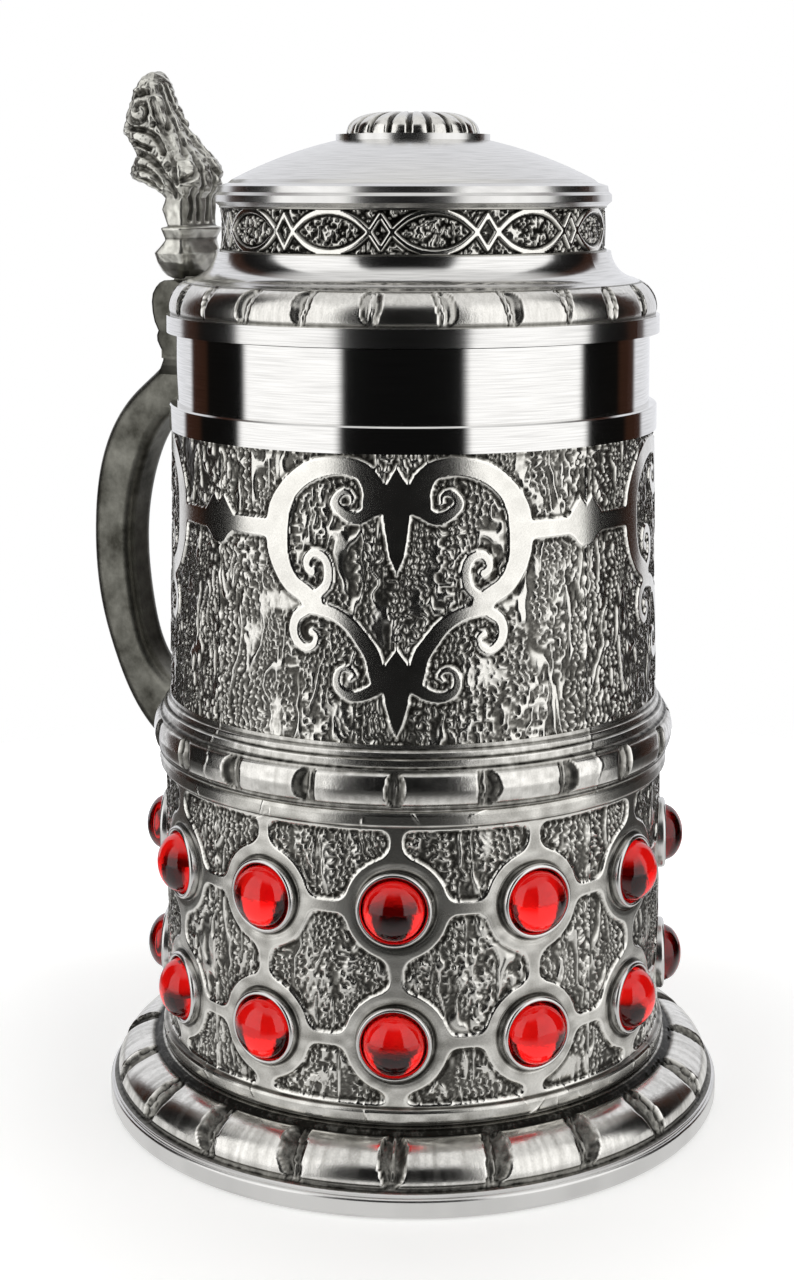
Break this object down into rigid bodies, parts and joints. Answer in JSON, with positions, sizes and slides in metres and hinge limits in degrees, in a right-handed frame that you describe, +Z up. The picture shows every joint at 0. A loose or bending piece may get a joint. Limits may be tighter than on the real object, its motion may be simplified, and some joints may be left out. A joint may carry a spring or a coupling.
{
  "type": "lidded tankard",
  "caption": "Lidded pewter tankard with cast bark-textured drums, scroll ornament, rows of red glass stones, a loop handle and a hinged lid with a leaf thumb lift.",
  "frame": {"origin": "on the cup's axis, in the plane of the foot's rim, where the tankard stands", "axes": "+Z up along the cup, -X towards the handle, Y along the hinge pin"},
  "size_m": [0.1443, 0.1266, 0.2122],
  "materials": {
    "antiqued_pewter": "cast pewter, bark texture darkened with patina and rubbed bright on the high spots",
    "rubbed_pewter": "cast pewter, rubbed bright with dark grooves",
    "frieze_pewter": "cast pewter with a dark stippled ground",
    "polished_pewter": "turned and polished pewter with fine lines round it",
    "satin_pewter": "turned pewter, satin",
    "plain_pewter": "plain pewter",
    "cast_pewter": "cast pewter, hand finished, patina in the hollows",
    "steel_pin": "plain steel",
    "red_glass": "deep red glass, domed and polished"
  },
  "bodies": {
    "tankard": {"foot_ring": "rubbed_pewter", "base_plate": "plain_pewter", "lower_drum": "antiqued_pewter", "mid_band": "rubbed_pewter", "upper_drum": "antiqued_pewter", "rim_collar": "polished_pewter", "bezels_upper": "rubbed_pewter", "bezels_lower": "rubbed_pewter", "stone_upper_01": "red_glass", "stone_upper_02": "red_glass", "stone_upper_03": "red_glass", "stone_upper_04": "red_glass", "stone_upper_05": "red_glass", "stone_upper_06": "red_glass", "stone_upper_07": "red_glass", "stone_upper_08": "red_glass", "stone_upper_09": "red_glass", "stone_upper_10": "red_glass", "stone_upper_11": "red_glass", "stone_upper_12": "red_glass", "stone_lower_01": "red_glass", "stone_lower_02": "red_glass", "stone_lower_03": "red_glass", "stone_lower_04": "red_glass", "stone_lower_05": "red_glass", "stone_lower_06": "red_glass", "stone_lower_07": "red_glass", "stone_lower_08": "red_glass", "stone_lower_09": "red_glass", "stone_lower_10": "red_glass", "stone_lower_11": "red_glass", "stone_lower_12": "red_glass", "handle": "cast_pewter", "hinge_pin": "steel_pin"},
    "lid": {"lid_base": "polished_pewter", "lid_lobe_ring": "rubbed_pewter", "lid_frieze": "frieze_pewter", "lid_dome": "satin_pewter", "lid_rosette": "rubbed_pewter", "thumb_lift": "cast_pewter"}
  },
  "joints": [
    {"name": "lid_hinge", "type": "hinge", "parent": "tankard", "child": "lid", "pos_m": [-0.0566, 0, 0.1625], "axis": [0, -1, 0], "range_deg": [0, 100]}
  ]
}
